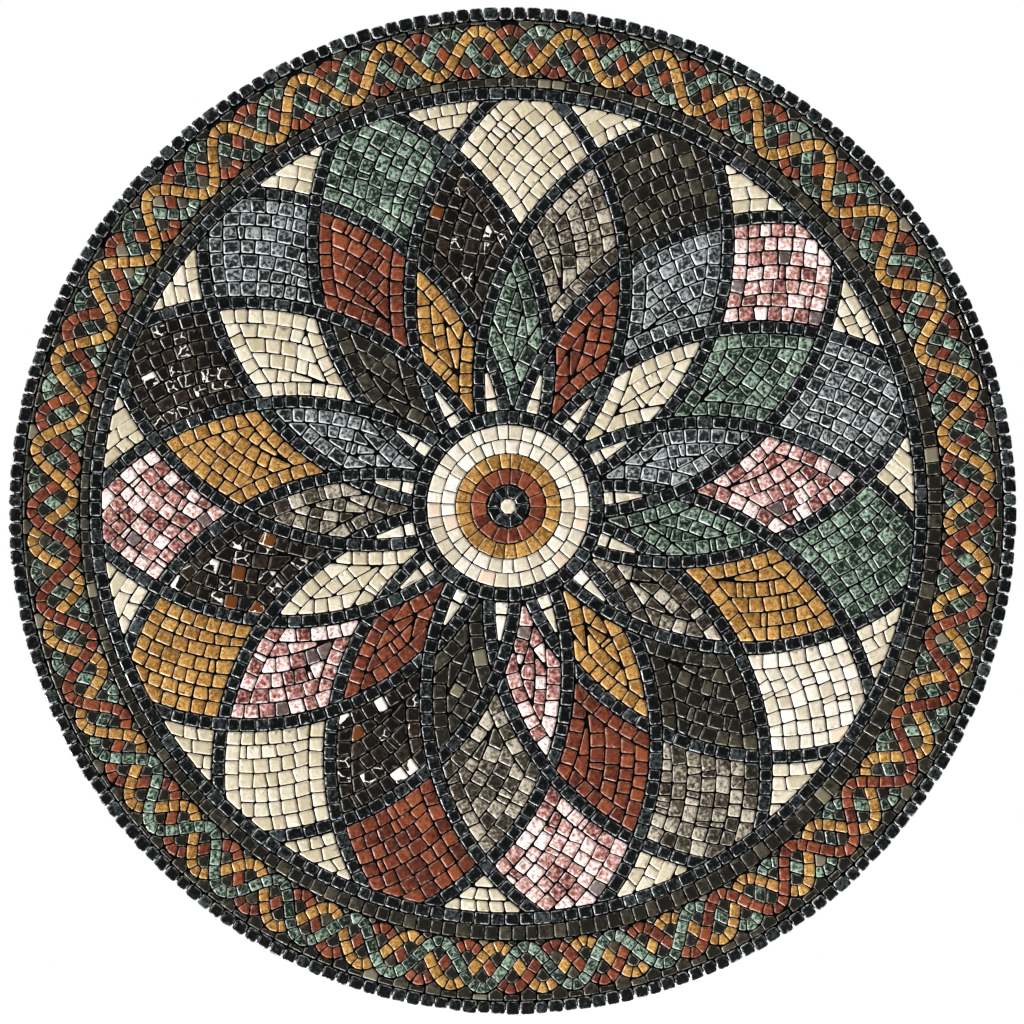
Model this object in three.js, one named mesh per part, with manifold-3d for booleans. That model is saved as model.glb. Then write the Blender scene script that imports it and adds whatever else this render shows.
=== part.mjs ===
// Round marble mosaic panel: a rosette of interlaced petals inside a three-strand braid.
//
// Units are millimetres and +Z is up. The panel stands upright as it hangs, with its face
// towards -Y and its flat back on the plane Y = 0. The origin is the centre of the back.
//
// Everything is drawn flat, x to the right and y up, and given its depth along +z from the
// back to the face. The last group turns that drawing upright. Angles run clockwise from the
// top of the panel. Each area of tesserae that is laid in one marble is one solid.

import * as THREE from 'three';
import { mergeVertices } from 'three/addons/utils/BufferGeometryUtils.js';
import Module from 'manifold-3d';

const wasm = await Module();
wasm.setup();

// Driving dimensions.
const PANEL_DIAMETER = 760;
const BED_THICKNESS = 10;
const BED_SETBACK = 3.5; // the bed's edge stays this far inside the rim course
const STONE_THICKNESS = 8;
const JOINT = 0.3; // clearance between neighbouring solids

// Hand laying: the rosette and the braid sit a few millimetres off the panel's centre, and
// the petals crowd together a little towards one side.
const ROSETTE_CENTRE = new THREE.Vector2(-3.2, 3.5);
const BRAID_CENTRE = new THREE.Vector2(-1.1, 1.3);
const FIRST_PETAL_ANGLE = 3.06;
const CROWDING_COS = -0.52; // degrees
const CROWDING_SIN = -1.65; // degrees

// The rosette is drawn with fifteen equal circles that all pass through its centre.
const PETALS = 15;
const PETAL_PITCH = 360 / PETALS;
const PETAL_CIRCLE_RADIUS = 202.3;
const COURSE_WIDTH = 9.6; // a black course is one tessera wide
const FIELD_RADIUS = 306.3; // inner edge of the black course round the rosette
const FIRST_CROSSING = PETAL_PITCH / 4; // circles cross at chord angles 6, 18, 30, 42 degrees
const CROSSING_STEP = PETAL_PITCH / 2;

// Rings of the central roundel, from the middle outwards.
const ROUNDEL_RINGS = [
  { name: 'roundel_centre', radius: 6.4, segments: 8, marble: 'white' },
  { name: 'roundel_black', radius: 16.6, segments: 16, marble: 'black' },
  { name: 'roundel_red', radius: 28.6, segments: 16, marble: 'red' },
  { name: 'roundel_ochre', radius: 40.0, segments: 24, marble: 'ochre' },
  { name: 'roundel_white', radius: 61.5, segments: 24, marble: 'white' },
];
const ROUNDEL_RADIUS = ROUNDEL_RINGS.at(-1).radius;
const ROUNDEL_COURSE_WIDTH = 10.5;

// The border, from the outside in.
const RIM_WIDTH = 10.5;
const BRAID_RADIUS = 345.4; // middle of the braid
const BRAID_SWING = 16; // from the middle to a strand's centreline at its bend
const BRAID_PERIODS = 32;
const STRAND_WIDTH = 8.6;
const STRAND_DEPTH = 0.8;
const STRAND_BEND = 40; // a bend is flat for this phase on both sides of its peak
const FLAT_BEND_SHARE = 0.93; // swing of that flat, so that the rounded bend is matched
// Phase of each strand, from the lowest laid to the one on top.
const STRANDS = [
  { name: 'strand_red', phase: 92, marble: 'red' },
  { name: 'strand_green', phase: -26, marble: 'green' },
  { name: 'strand_ochre', phase: -144, marble: 'ochre' },
];

const RIM_SEGMENTS = 60;
const LINK_DEPTH = 0.7; // thin ring that joins separate small areas under a black course
const LINK_WIDTH = 5;

const MARBLES = {
  black: { color: 0x2a2c2e, roughness: 0.6 },
  white: { color: 0xf0e9d8, roughness: 0.6 },
  cream: { color: 0xe2d6ba, roughness: 0.6 },
  ochre: { color: 0xb9852f, roughness: 0.55 },
  red: { color: 0x8c3f2a, roughness: 0.6 },
  green: { color: 0x4f6152, roughness: 0.6 },
  slate: { color: 0x5a666b, roughness: 0.6 },
  taupe: { color: 0x877c69, roughness: 0.6 },
  pink: { color: 0xbd9186, roughness: 0.6 },
  olive: { color: 0x34332b, roughness: 0.6 },
  umber: { color: 0x3d302a, roughness: 0.55 },
  mortar: { color: 0x4a4742, roughness: 0.95 },
};

// Rings of petal cells, from the middle outwards. A cell is a lozenge between two crossings of
// the circles: it starts at chord angle crossing(start) and ends one petal pitch further on.
// steps are the straight steps on its side up to its widest place, and on to its end.
const SLIVERS = { start: -1, steps: [1, 1], linkSegments: 15 };
const LEAVES = {
  name: 'leaf',
  start: 0,
  steps: [2, 2],
  marbles: [
    'green', 'red', 'cream', 'slate', 'green', 'taupe', 'ochre', 'pink',
    'olive', 'red', 'cream', 'taupe', 'slate', 'olive', 'ochre',
  ],
};
const MIDDLE_CELLS = {
  name: 'middle_petal',
  start: 1,
  steps: [2, 2],
  marbles: [
    'taupe', 'slate', 'green', 'pink', 'ochre', 'olive', 'red', 'taupe',
    'umber', 'pink', 'umber', 'ochre', 'cream', 'red', 'umber',
  ],
};
const OUTER_CELLS = {
  name: 'outer_petal',
  start: 2,
  steps: [2, 1],
  marbles: [
    'cream', 'olive', 'pink', 'slate', 'green', 'white', 'taupe', 'pink',
    'red', 'cream', 'ochre', 'pink', 'umber', 'slate', 'green',
  ],
};
const GUSSETS = { start: 3, steps: [1, 1], linkSegments: 30 };

// Values worked out from the dimensions above.
const PANEL_RADIUS = PANEL_DIAMETER / 2;
const FACE = BED_THICKNESS + STONE_THICKNESS;
const STONE_BACK = BED_THICKNESS + JOINT;
const COURSE_BACK = STONE_BACK + LINK_DEPTH + JOINT;
const STRAND_LIFT = STRAND_DEPTH + JOINT;
const GROUND_FACE = FACE - STRANDS.length * STRAND_LIFT;
const ROUNDEL_COURSE_RADIUS = ROUNDEL_RADIUS + JOINT + ROUNDEL_COURSE_WIDTH;
const FIELD_COURSE_RADIUS = FIELD_RADIUS + COURSE_WIDTH;

const RAD = Math.PI / 180;
const sinDeg = (angle) => Math.sin(angle * RAD);
const cosDeg = (angle) => Math.cos(angle * RAD);
const acosDeg = (value) => Math.acos(value) / RAD;

const part = new THREE.Group();
const drawing = new THREE.Group();
drawing.rotation.x = Math.PI / 2;
part.add(drawing);

function addPiece(name, geometry, marble) {
  const finish = new THREE.MeshStandardMaterial({ ...MARBLES[marble], metalness: 0 });
  const mesh = new THREE.Mesh(geometry, finish);
  mesh.name = name;
  drawing.add(mesh);
}

// A point at a radius and a clockwise angle about a centre.
function pointAt(centre, radius, angle) {
  return new THREE.Vector2(centre.x + radius * sinDeg(angle), centre.y + radius * cosDeg(angle));
}

function circle(centre, radius, segments) {
  const points = [];
  for (let i = 0; i < segments; i += 1) {
    points.push(pointAt(centre, radius, (360 * i) / segments));
  }
  return points;
}

// A flat outline with holes, given depth from back to front. Outlines run clockwise here, and
// the extrusion needs an anticlockwise one round its holes.
function slab(outline, holes, back, front) {
  const shape = new THREE.Shape(outline.toReversed());
  shape.holes = holes.map((points) => new THREE.Path(points));
  const geometry = new THREE.ExtrudeGeometry(shape, { depth: front - back, bevelEnabled: false });
  geometry.translate(0, 0, back);
  return geometry;
}

function ring(centre, innerRadius, outerRadius, segments, back, front) {
  const outline = circle(centre, outerRadius, segments);
  const hole = circle(centre, innerRadius, segments);
  return slab(outline, [hole], back, front);
}

// The rosette's own polar grid, with the petals crowded as they were laid.
function rosettePoint(radius, angle) {
  const crowding = CROWDING_COS * cosDeg(angle) + CROWDING_SIN * sinDeg(angle);
  return pointAt(ROSETTE_CENTRE, radius, angle + crowding);
}

// Chord angle of the crossing with this number, counted outwards from the centre.
function crossing(number) {
  return FIRST_CROSSING + CROSSING_STEP * number;
}

// Radius on a cell's axis where the two circles that bound it meet. The circles are swollen by
// inset at the cell's start and shrunk by it at the cell's end.
function tipRadius(chordAngle, inset) {
  const along = PETAL_CIRCLE_RADIUS * sinDeg(chordAngle);
  const edge = PETAL_CIRCLE_RADIUS + inset;
  return along + Math.sqrt(Math.max(0, along ** 2 + edge ** 2 - PETAL_CIRCLE_RADIUS ** 2));
}

// Angle at the rosette's centre between a circle's own centre and its edge at this radius.
function edgeAngle(radius, inset) {
  const edge = PETAL_CIRCLE_RADIUS + inset;
  const squares = radius ** 2 + PETAL_CIRCLE_RADIUS ** 2 - edge ** 2;
  return acosDeg(THREE.MathUtils.clamp(squares / (2 * radius * PETAL_CIRCLE_RADIUS), -1, 1));
}

// Half of a cell's width at this radius, as an angle from its axis.
function halfAngle(cells, radius, inset) {
  const widening = 90 - crossing(cells.start) - edgeAngle(radius, inset);
  const narrowing = crossing(cells.start + 2) - 90 + edgeAngle(radius, -inset);
  return Math.max(0, Math.min(widening, narrowing));
}

// Radii of the points down one side of a cell: its start, its widest place and its end, with
// the sides between them cut into equal steps. The cells stop short of the roundel's course
// and of the field's course.
function sideRadii(cells, inset) {
  const margin = inset - COURSE_WIDTH / 2;
  const lowest = ROUNDEL_COURSE_RADIUS + margin;
  const highest = FIELD_RADIUS - margin;
  const clip = (radius) => THREE.MathUtils.clamp(radius, lowest, highest);
  const start = clip(tipRadius(crossing(cells.start), inset));
  const widest = clip(2 * PETAL_CIRCLE_RADIUS * sinDeg(crossing(cells.start + 1)));
  const end = clip(tipRadius(crossing(cells.start + 2), -inset));
  const radii = [start];
  [[start, widest], [widest, end]].forEach(([from, to], half) => {
    for (let step = 1; step <= cells.steps[half] && to > from; step += 1) {
      radii.push(from + ((to - from) * step) / cells.steps[half]);
    }
  });
  return radii;
}

// Outline of one cell, drawn inset from the circles' centrelines.
function cellOutline(cells, index, inset) {
  const axis = FIRST_PETAL_ANGLE + PETAL_PITCH * index + (cells.start % 2 ? PETAL_PITCH / 2 : 0);
  const right = [];
  const left = [];
  for (const radius of sideRadii(cells, inset)) {
    const half = halfAngle(cells, radius, inset);
    right.push(rosettePoint(radius, axis + half));
    if (half > 0.01) {
      left.unshift(rosettePoint(radius, axis - half));
    }
  }
  if (cells === GUSSETS) {
    right.push(rosettePoint(FIELD_RADIUS - inset + COURSE_WIDTH / 2, axis));
  }
  return [...right, ...left];
}

function everyCell(cells, inset) {
  const outlines = [];
  for (let index = 0; index < PETALS; index += 1) {
    outlines.push(cellOutline(cells, index, inset));
  }
  return outlines;
}

// manifold-3d solids, for the pieces that are joined from several.
function toSolid(geometry) {
  geometry.deleteAttribute('normal');
  geometry.deleteAttribute('uv');
  const merged = mergeVertices(geometry, 1e-4);
  const mesh = new wasm.Mesh({
    numProp: 3,
    vertProperties: Float32Array.from(merged.attributes.position.array),
    triVerts: Uint32Array.from(merged.index.array),
  });
  return new wasm.Manifold(mesh);
}

function toGeometry(solid) {
  const mesh = solid.getMesh();
  const geometry = new THREE.BufferGeometry();
  geometry.setAttribute('position', new THREE.BufferAttribute(mesh.vertProperties, 3));
  geometry.setIndex(new THREE.BufferAttribute(mesh.triVerts, 1));
  return geometry.toNonIndexed();
}

// Small cells of one marble, joined by a thin ring that runs hidden under a black course.
function linkedCells(cells, linkRadius, footRadius) {
  const linkFace = STONE_BACK + LINK_DEPTH;
  const inner = linkRadius - LINK_WIDTH / 2;
  const outer = linkRadius + LINK_WIDTH / 2;
  const link = ring(ROSETTE_CENTRE, inner, outer, cells.linkSegments, STONE_BACK, linkFace);
  let joined = toSolid(link);
  for (let index = 0; index < PETALS; index += 1) {
    const axis = FIRST_PETAL_ANGLE + PETAL_PITCH * (index + 0.5);
    const footHalf = halfAngle(cells, footRadius, COURSE_WIDTH / 2) / 3;
    const foot = [
      rosettePoint(footRadius, axis - footHalf),
      rosettePoint(linkRadius, axis - footHalf),
      rosettePoint(linkRadius, axis + footHalf),
      rosettePoint(footRadius, axis + footHalf),
    ];
    const outline = cellOutline(cells, index, COURSE_WIDTH / 2 + JOINT);
    joined = joined.add(toSolid(slab(foot, [], STONE_BACK, linkFace)));
    joined = joined.add(toSolid(slab(outline, [], STONE_BACK, FACE)));
  }
  return toGeometry(joined.asOriginal().simplify());
}

// A strand's centreline: straight diagonals between flattened bends.
function strandPath(phase) {
  const path = [];
  for (let period = 0; period < BRAID_PERIODS; period += 1) {
    for (const side of [1, -1]) {
      for (const bend of [-STRAND_BEND, STRAND_BEND]) {
        const wave = 360 * period + 90 * (2 - side) + bend;
        const radius = BRAID_RADIUS + side * BRAID_SWING * FLAT_BEND_SHARE;
        path.push(pointAt(BRAID_CENTRE, radius, (wave - phase) / BRAID_PERIODS));
      }
    }
  }
  return path;
}

// A closed path moved sideways, keeping its corners mitred.
function offsetPath(path, distance) {
  return path.map((point, i) => {
    const before = path[(i + path.length - 1) % path.length];
    const after = path[(i + 1) % path.length];
    const into = point.clone().sub(before).normalize();
    const away = after.clone().sub(point).normalize();
    const along = into.clone().add(away).normalize();
    const reach = distance / along.dot(into);
    return new THREE.Vector2(point.x - along.y * reach, point.y + along.x * reach);
  });
}

function strand(phase, face) {
  const path = strandPath(phase);
  const outer = offsetPath(path, STRAND_WIDTH / 2);
  const inner = offsetPath(path, -STRAND_WIDTH / 2);
  return slab(outer, [inner], face - STRAND_DEPTH, face);
}

function addBorder() {
  const centre = new THREE.Vector2(0, 0);
  const rimInner = PANEL_RADIUS - RIM_WIDTH;
  const rim = ring(centre, rimInner, PANEL_RADIUS, RIM_SEGMENTS, STONE_BACK, FACE);
  addPiece('rim_course', rim, 'black');

  const groundOutline = circle(centre, rimInner - JOINT, RIM_SEGMENTS);
  const groundHole = circle(ROSETTE_CENTRE, FIELD_COURSE_RADIUS + JOINT, RIM_SEGMENTS);
  addPiece('border_ground', slab(groundOutline, [groundHole], STONE_BACK, GROUND_FACE), 'olive');

  STRANDS.forEach(({ name, phase, marble }, level) => {
    addPiece(name, strand(phase, GROUND_FACE + STRAND_LIFT * (level + 1)), marble);
  });
}

// The black courses are one net: the ring round the field, the arcs of the petal circles and
// the ring round the roundel, with a window for every cell.
function addBlackCourses() {
  const windows = [circle(ROSETTE_CENTRE, ROUNDEL_RADIUS + JOINT, ROUNDEL_RINGS.at(-1).segments)];
  for (const cells of [SLIVERS, LEAVES, MIDDLE_CELLS, OUTER_CELLS, GUSSETS]) {
    windows.push(...everyCell(cells, COURSE_WIDTH / 2));
  }
  const outline = circle(ROSETTE_CENTRE, FIELD_COURSE_RADIUS, RIM_SEGMENTS);
  addPiece('black_courses', slab(outline, windows, COURSE_BACK, FACE), 'black');
}

function addCells(cells) {
  everyCell(cells, COURSE_WIDTH / 2 + JOINT).forEach((outline, index) => {
    const number = String(index + 1).padStart(2, '0');
    addPiece(`${cells.name}_${number}`, slab(outline, [], STONE_BACK, FACE), cells.marbles[index]);
  });
}

function addRosette() {
  addBlackCourses();
  addCells(LEAVES);
  addCells(MIDDLE_CELLS);
  addCells(OUTER_CELLS);
  const fieldLink = FIELD_RADIUS + COURSE_WIDTH / 2;
  addPiece('cream_gussets', linkedCells(GUSSETS, fieldLink, FIELD_RADIUS - LINK_WIDTH), 'cream');
  const roundelLink = ROUNDEL_COURSE_RADIUS - ROUNDEL_COURSE_WIDTH / 2;
  const sliverFoot = ROUNDEL_COURSE_RADIUS + LINK_WIDTH;
  addPiece('white_slivers', linkedCells(SLIVERS, roundelLink, sliverFoot), 'white');
}

function addRoundel() {
  let inner = 0;
  for (const { name, radius, segments, marble } of ROUNDEL_RINGS) {
    const holes = inner > 0 ? [circle(ROSETTE_CENTRE, inner, segments)] : [];
    const outline = circle(ROSETTE_CENTRE, radius, segments);
    addPiece(name, slab(outline, holes, STONE_BACK, FACE), marble);
    inner = radius + JOINT;
  }
}

function addBed() {
  const centre = new THREE.Vector2(0, 0);
  const outline = circle(centre, PANEL_RADIUS - BED_SETBACK, RIM_SEGMENTS);
  addPiece('setting_bed', slab(outline, [], 0, BED_THICKNESS), 'mortar');
}

addBed();
addBorder();
addRosette();
addRoundel();

export default part;
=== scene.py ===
"""Looks of a round marble mosaic panel: thousands of tumbled tesserae on a mortar bed.

The plan of the mosaic is worked out flat, in millimetres, x to the right and y up as seen from
the front, with angles running clockwise from the top. Every tessera is a convex outline in that
plan that becomes a stone with worn arrises. The stones of one CAD node make one piece.
"""

from __future__ import annotations

import logging
import math
import random
from dataclasses import dataclass, field
from enum import Enum
from typing import Callable

import bpy
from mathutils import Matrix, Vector

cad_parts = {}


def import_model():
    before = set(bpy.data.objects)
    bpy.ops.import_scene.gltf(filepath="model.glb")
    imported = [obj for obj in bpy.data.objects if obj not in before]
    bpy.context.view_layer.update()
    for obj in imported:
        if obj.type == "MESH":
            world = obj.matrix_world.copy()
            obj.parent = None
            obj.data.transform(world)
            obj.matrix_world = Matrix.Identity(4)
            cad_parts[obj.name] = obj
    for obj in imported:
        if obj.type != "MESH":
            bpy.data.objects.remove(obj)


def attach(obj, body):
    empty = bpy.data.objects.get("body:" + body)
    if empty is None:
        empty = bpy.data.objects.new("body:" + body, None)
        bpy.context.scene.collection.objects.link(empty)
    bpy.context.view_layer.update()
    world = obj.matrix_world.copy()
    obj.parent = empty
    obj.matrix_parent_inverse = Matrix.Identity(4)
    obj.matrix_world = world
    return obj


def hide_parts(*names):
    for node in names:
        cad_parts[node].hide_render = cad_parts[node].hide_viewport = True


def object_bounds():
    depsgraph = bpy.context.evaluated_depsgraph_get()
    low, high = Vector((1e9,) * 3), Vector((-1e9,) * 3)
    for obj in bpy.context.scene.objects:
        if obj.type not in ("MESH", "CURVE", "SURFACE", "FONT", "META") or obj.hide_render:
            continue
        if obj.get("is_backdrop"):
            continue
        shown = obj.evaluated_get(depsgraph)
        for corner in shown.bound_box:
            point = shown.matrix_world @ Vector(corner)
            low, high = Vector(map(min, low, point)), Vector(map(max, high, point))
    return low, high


LOG = logging.getLogger("mosaic")
MM = 0.001
BODY = "root"

Point = tuple[float, float]
Point3 = tuple[float, float, float]
Colour = tuple[float, float, float, float]
Polygon = list[Point]
Socket = bpy.types.NodeSocket

ORIGIN: Point = (0.0, 0.0)
PURE_WHITE: Colour = (1.0, 1.0, 1.0, 1.0)
TINY = 1e-6


# ---------------------------------------------------------------- plane geometry


def sin_deg(angle: float) -> float:
    """Sine of an angle in degrees."""
    return math.sin(math.radians(angle))


def cos_deg(angle: float) -> float:
    """Cosine of an angle in degrees."""
    return math.cos(math.radians(angle))


def polar(radius: float, angle: float, centre: Point = ORIGIN) -> Point:
    """Point at a radius and a clockwise angle in degrees about a centre."""
    return (centre[0] + radius * sin_deg(angle), centre[1] + radius * cos_deg(angle))


def sector(radii: Point, angles: Point, centre: Point = ORIGIN) -> Polygon:
    """Block between two radii and two angles about a centre."""
    first, last = ([polar(radius, angle, centre) for radius in radii] for angle in angles)
    return first + last[::-1]


def distance(a: Point, b: Point) -> float:
    """Distance between two points."""
    return math.hypot(a[0] - b[0], a[1] - b[1])


def signed_area(polygon: Polygon) -> float:
    """Area of a polygon, positive when it runs anticlockwise."""
    total = 0.0
    for (x0, y0), (x1, y1) in zip(polygon, polygon[1:] + polygon[:1]):
        total += x0 * y1 - x1 * y0
    return total / 2


def middle(polygon: Polygon) -> Point:
    """Mean of a polygon's corners."""
    count = len(polygon)
    return (sum(p[0] for p in polygon) / count, sum(p[1] for p in polygon) / count)


def clip(polygon: Polygon, normal: Point, limit: float) -> Polygon:
    """Cuts a convex polygon with a straight line.

    Args:
        polygon: The outline to cut.
        normal: Unit direction that points to the side that is cut away.
        limit: How far along the normal the line lies.

    Returns:
        What is left, which may be empty.
    """
    kept: Polygon = []
    for a, b in zip(polygon, polygon[1:] + polygon[:1]):
        da = a[0] * normal[0] + a[1] * normal[1] - limit
        db = b[0] * normal[0] + b[1] * normal[1] - limit
        if da <= 0:
            kept.append(a)
        if (da < 0 < db) or (db < 0 < da):
            t = da / (da - db)
            kept.append((a[0] + t * (b[0] - a[0]), a[1] + t * (b[1] - a[1])))
    return kept


def tidy(polygon: Polygon, shortest: float) -> Polygon:
    """Turns a convex polygon anticlockwise and drops corners closer than the shortest edge."""
    if len(polygon) < 3:
        return []
    ordered = polygon if signed_area(polygon) > 0 else polygon[::-1]
    kept: Polygon = []
    for point in ordered:
        if not kept or distance(point, kept[-1]) > shortest:
            kept.append(point)
    while len(kept) > 2 and distance(kept[0], kept[-1]) <= shortest:
        kept.pop()
    return kept if len(kept) > 2 else []


def inset(polygon: Polygon, amount: float) -> Polygon:
    """Shrinks an anticlockwise convex polygon by moving every edge inwards."""
    kept = polygon
    for a, b in zip(polygon, polygon[1:] + polygon[:1]):
        length = distance(a, b)
        if length < TINY or not kept:
            continue
        normal = ((b[1] - a[1]) / length, (a[0] - b[0]) / length)
        kept = clip(kept, normal, a[0] * normal[0] + a[1] * normal[1] - amount)
    return kept


@dataclass(frozen=True)
class RoundEdge:
    """A circle that bounds an area of stones.

    Attributes:
        centre: Centre of the circle.
        radius: Its radius.
        side: -1 where the stones lie inside the circle, 1 where they lie outside.
    """

    centre: Point
    radius: float
    side: int

    def room(self, point: Point) -> float:
        """How far a point lies on the stones' side of the edge."""
        return self.side * (distance(point, self.centre) - self.radius)

    def cut(self, polygon: Polygon) -> Polygon:
        """Cuts a small polygon with the edge's tangent beside it."""
        if not polygon:
            return []
        x, y = middle(polygon)
        reach = max(distance((x, y), self.centre), TINY)
        out = ((x - self.centre[0]) / reach, (y - self.centre[1]) / reach)
        base = out[0] * self.centre[0] + out[1] * self.centre[1]
        if self.side < 0:
            return clip(polygon, out, base + self.radius)
        return clip(polygon, (-out[0], -out[1]), -base - self.radius)

    def moved(self, amount: float) -> RoundEdge:
        """The edge moved to the stones' side by an amount."""
        return RoundEdge(self.centre, self.radius + self.side * amount, self.side)


@dataclass(frozen=True)
class Region:
    """An area of stones inside several round edges.

    Attributes:
        edges: The edges that bound it.
    """

    edges: tuple[RoundEdge, ...]

    def cut(self, polygon: Polygon) -> Polygon:
        """Cuts a small polygon to the region, twice, as the tangents move with the polygon."""
        for edge in self.edges * 2:
            polygon = edge.cut(polygon)
        return polygon

    def holds(self, point: Point) -> bool:
        """True if a point lies inside the region."""
        return all(edge.room(point) >= 0 for edge in self.edges)


def steps(
    start: float, end: float, pitch: float, rng: random.Random, loose: float = 0.12
) -> list[float]:
    """Divides a length into nearly equal stones.

    Args:
        start: Where the first stone starts.
        end: Where the last stone ends.
        pitch: The usual length of a stone with its joint.
        rng: Source of the unevenness.
        loose: Largest share of a stone that a joint may move by.

    Returns:
        The joints, from start to end.
    """
    count = max(1, round(abs(end - start) / pitch))
    size = (end - start) / count
    joints = [start + size * i for i in range(count + 1)]
    for i in range(1, count):
        joints[i] += size * rng.uniform(-loose, loose)
    return joints


def linked(name: str, data: bpy.types.ID) -> bpy.types.Object:
    """Makes an object and puts it into the scene."""
    made = bpy.data.objects.new(name, data)
    bpy.context.scene.collection.objects.link(made)
    return made


# ---------------------------------------------------------------- stones


@dataclass
class StoneShape:
    """How tumbled a kind of stone is.

    Attributes:
        corner: Rounding of the corners in plan.
        arris: Width of the worn arris round the face.
        sink: How far a stone may lie below the highest ones.
        tilt: Largest slope of a face, as a ratio.
    """

    corner: float = 1.15
    arris: float = 0.8
    sink: float = 0.6
    tilt: float = 0.035


# Usual width of a joint, and that between the palest stones.
JOINT = 1.25
PALE_JOINT = 0.95

# Height of the stones' undersides above the back.
STONE_FOOT = 10.3

# The roundel's fine stones, the hewn ones of the braid and the slivers, and the rim's cubes.
SHARP = StoneShape(corner=0.65, arris=0.6, sink=0.4)
HEWN = StoneShape(corner=0.85, arris=0.75, sink=0.6)
TUMBLED = StoneShape(corner=2.0, arris=1.1, sink=0.8, tilt=0.05)


@dataclass
class Masonry:
    """Stones of one piece, gathered as outlines and then built as one mesh.

    Attributes:
        name: Name of the piece.
        lay: Moves a point of the drawing to where it is laid on the panel.
        face: Height of the highest stones above the back.
        foot: Height of the stones' undersides above the back.
        rng: Source of the unevenness.
        joint: Width of the joints.
        shape: How tumbled the stones are.
        smallest: Area under which a stone is left out, in square millimetres.
        vertices: The mesh's vertices so far, in metres.
        faces: Its faces, as the numbers of their vertices.
        tones: Three random values of each vertex's stone, and 1.
        rubbing_and_highlight: How rubbed each vertex is, from 0 to 1; the same value says how strongly
            a highlight is painted there, on the arrises.
        smooth: Whether each face is smooth.
        count: Stones laid so far.
    """

    name: str
    lay: Callable[[Point], Point]
    face: float
    foot: float
    rng: random.Random
    joint: float = JOINT
    shape: StoneShape = field(default_factory=StoneShape)
    smallest: float = 7.0
    vertices: list[Point3] = field(default_factory=list)
    faces: list[list[int]] = field(default_factory=list)
    tones: list[Colour] = field(default_factory=list)
    rubbing_and_highlight: list[float] = field(default_factory=list)
    smooth: list[bool] = field(default_factory=list)
    count: int = 0

    def add(self, outline: Polygon) -> None:
        """Lays one stone.

        Args:
            outline: Its outline in the drawing, up to the middle of its joints.
        """
        laid = tidy([self.lay(p) for p in outline], 0.35)
        if not laid:
            return
        half = self.joint / 2 * self.rng.uniform(0.7, 1.35)
        plan = tidy(inset(laid, half), 0.5)
        if not plan or signed_area(plan) < self.smallest:
            return
        core, corner = self._core(plan)
        if core:
            self._raise_stone(core, corner)
            self.count += 1

    def _core(self, plan: Polygon) -> tuple[Polygon, float]:
        """The outline shrunk by the corner's rounding, and that rounding."""
        corner = self.shape.corner * self.rng.uniform(0.75, 1.3)
        while corner > 0.35:
            core = tidy(inset(plan, corner), 0.3)
            if core:
                return core, corner
            corner *= 0.75
        return [], 0.0

    def _raise_stone(self, core: Polygon, corner: float) -> None:
        """Builds the stone round its core: walls, worn arris, face and underside.

        Args:
            core: The stone's outline without its rounded corners.
            corner: Rounding of the corners.
        """
        arris = min(self.shape.arris * self.rng.uniform(0.7, 1.25), corner * 0.92)
        slant = arris * self.rng.uniform(0.5, 0.85)
        top = self.face - self.shape.sink * self.rng.random() ** 1.5
        slope = (self.rng.uniform(-1, 1) * self.shape.tilt, self.rng.uniform(-1, 1) * self.shape.tilt)
        centre = middle(core)
        rays: list[tuple[Point, Point]] = []
        for before, point, after in zip(core[-1:] + core[:-1], core, core[1:] + core[:1]):
            first = self._outward(before, point)
            last = self._outward(point, after)
            between = (first[0] + last[0], first[1] + last[1])
            length = math.hypot(*between)
            if length > TINY:
                middle_ray = (between[0] / length, between[1] / length)
                rays += [(point, first), (point, middle_ray), (point, last)]
        # Rings from the foot to the face: how far in and down, how wide of all, and how rubbed, which
        # also sets how strongly a highlight is painted on the arris.
        rings = (
            (0.0, top - self.foot, 1.0, 1.0),
            (0.0, slant + arris * 0.3, 1.0, 1.0),
            (arris * 0.15, slant, 1.0, 1.0),
            (arris, 0.03, 1.0, 0.5),
            (arris, -0.03, 0.75, 0.12),
        )
        chip = [self.rng.uniform(-0.12, 0.12) for _ in rays]
        start = len(self.vertices)
        for level, (inward, down, share, rubbing_and_highlight_strength) in enumerate(rings):
            for ray, (point, out) in enumerate(rays):
                reach = corner - inward + (chip[ray] if level in (1, 2, 3) else 0.0)
                x = centre[0] + (point[0] + out[0] * reach - centre[0]) * share
                y = centre[1] + (point[1] + out[1] * reach - centre[1]) * share
                lean = slope[0] * (x - centre[0]) + slope[1] * (y - centre[1])
                height = top - down + (lean if level else 0.0)
                self._vertex(x, y, min(height, self.face), rubbing_and_highlight_strength)
        self._vertex(centre[0], centre[1], min(top + 0.06, self.face), 0.0)
        tone = (self.rng.random(), self.rng.random(), self.rng.random(), 1.0)
        self.tones.extend([tone] * (len(self.vertices) - start))
        self._skin(start, len(rays), len(rings))

    @staticmethod
    def _outward(a: Point, b: Point) -> Point:
        """Unit normal of an anticlockwise outline's edge, pointing out."""
        length = max(distance(a, b), TINY)
        return ((b[1] - a[1]) / length, (a[0] - b[0]) / length)

    def _vertex(self, x: float, y: float, height: float, rubbing_and_highlight_strength: float) -> None:
        """Adds one vertex, given in the plan and as a height above the back."""
        self.vertices.append((x * MM, -height * MM, y * MM))
        self.rubbing_and_highlight.append(rubbing_and_highlight_strength)

    def _skin(self, start: int, around: int, levels: int) -> None:
        """Joins the rings of one stone with faces that point out."""
        for level in range(levels - 1):
            low = start + level * around
            high = low + around
            for i in range(around):
                j = (i + 1) % around
                self.faces.append([low + i, low + j, high + j, high + i])
                self.smooth.append(level == levels - 2)
        top = start + (levels - 1) * around
        for i in range(around):
            self.faces.append([top + i, top + (i + 1) % around, top + around])
        self.faces.append([start + i for i in reversed(range(around))])
        self.smooth += [True] * around + [False]

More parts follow.
